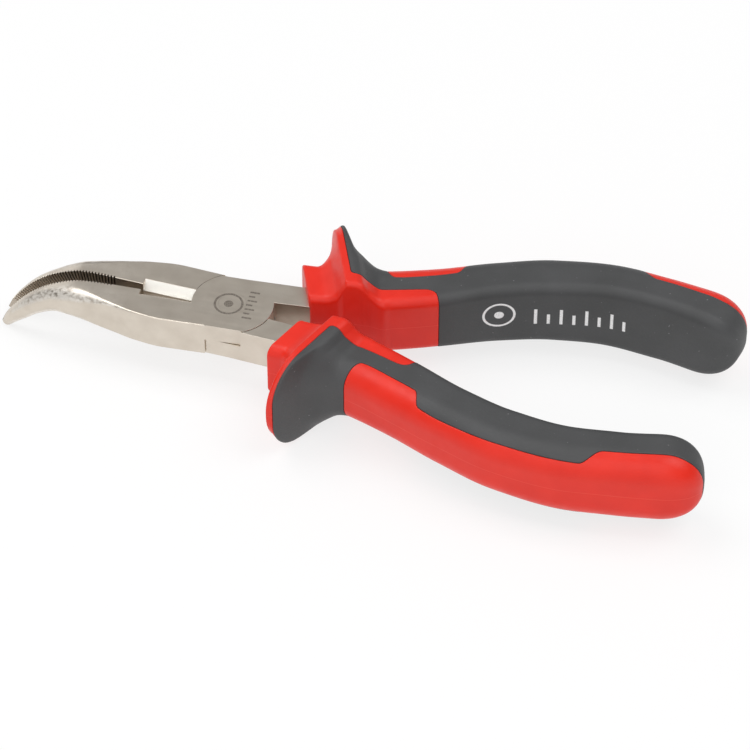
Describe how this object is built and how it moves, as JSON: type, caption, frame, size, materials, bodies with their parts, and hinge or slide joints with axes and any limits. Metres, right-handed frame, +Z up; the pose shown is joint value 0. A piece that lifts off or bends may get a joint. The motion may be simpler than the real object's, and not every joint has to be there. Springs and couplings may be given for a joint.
{
  "type": "bent nose pliers",
  "caption": "Long bent-nose pliers with serrated half-round jaws that curve down at the tip, a side cutter, a lap joint with a flush rivet, and flared two-colour grips.",
  "frame": {"origin": "middle of the footprint of the pliers lying flat, on the plane that they rest on", "axes": "+X from the jaw tips towards the handle ends, +Y across from handle to handle, +Z up along the pivot axis"},
  "size_m": [0.1596, 0.062, 0.0245],
  "materials": {
    "steel": "satin nickel-plated forged steel",
    "sleeve_red": "semi-gloss moulded red plastic",
    "overmould_grey": "matt dark grey soft-touch rubber"
  },
  "bodies": {
    "lever_a": {"steel_lever_a": "steel", "pivot_rivet": "steel", "grip_sleeve_a": "sleeve_red", "grip_overmould_a": "overmould_grey"},
    "lever_b": {"steel_lever_b": "steel", "grip_sleeve_b": "sleeve_red", "grip_overmould_b": "overmould_grey"}
  },
  "joints": [
    {"name": "pivot", "type": "hinge", "parent": "lever_a", "child": "lever_b", "pos_m": [-0.02763, 0, 0.01265], "axis": [0, 0, -1], "range_deg": [-4.3, 26]}
  ]
}
